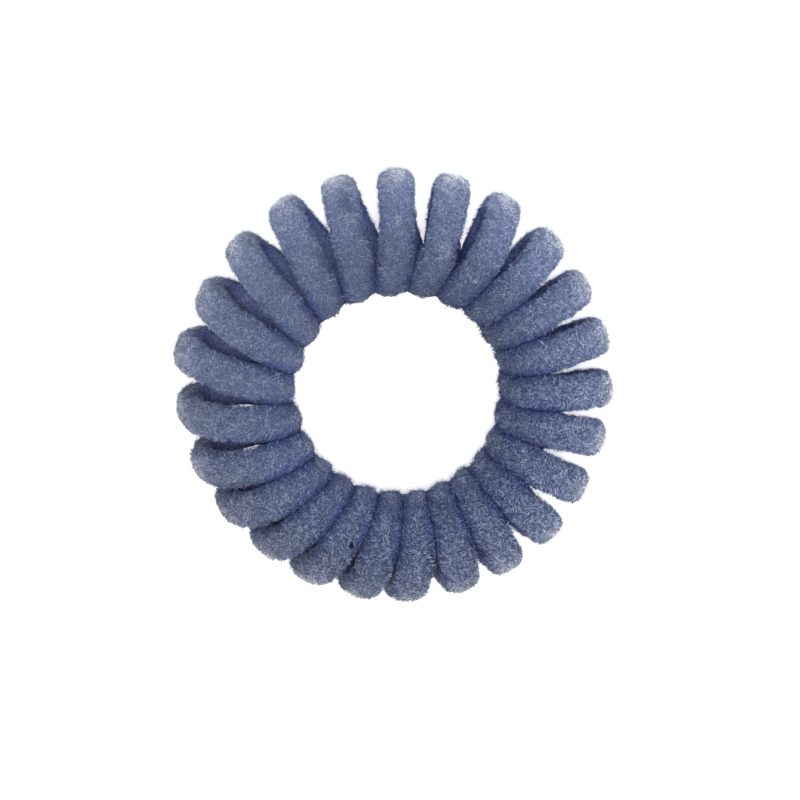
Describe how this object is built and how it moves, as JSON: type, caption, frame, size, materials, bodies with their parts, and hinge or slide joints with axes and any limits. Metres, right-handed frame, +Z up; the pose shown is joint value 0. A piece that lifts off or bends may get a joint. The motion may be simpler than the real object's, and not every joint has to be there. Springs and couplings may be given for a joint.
{
  "type": "spiral hair tie",
  "caption": "Flocked spiral hair tie: a soft plastic wire coiled like a telephone cord and closed into a ring, which stretches round a bunch of hair.",
  "frame": {"origin": "on the surface the ring lies on, under the middle of the ring's box", "axes": "+Z up, along the axis of the ring's hole; +Y is the top of the reference picture, +X its right"},
  "size_m": [0.0442, 0.0438, 0.0121],
  "materials": {
    "flock": "matt slate-blue flock, short velvety pile on a soft plastic wire"
  },
  "bodies": {
    "root": {"coil": "flock"}
  },
  "joints": []
}
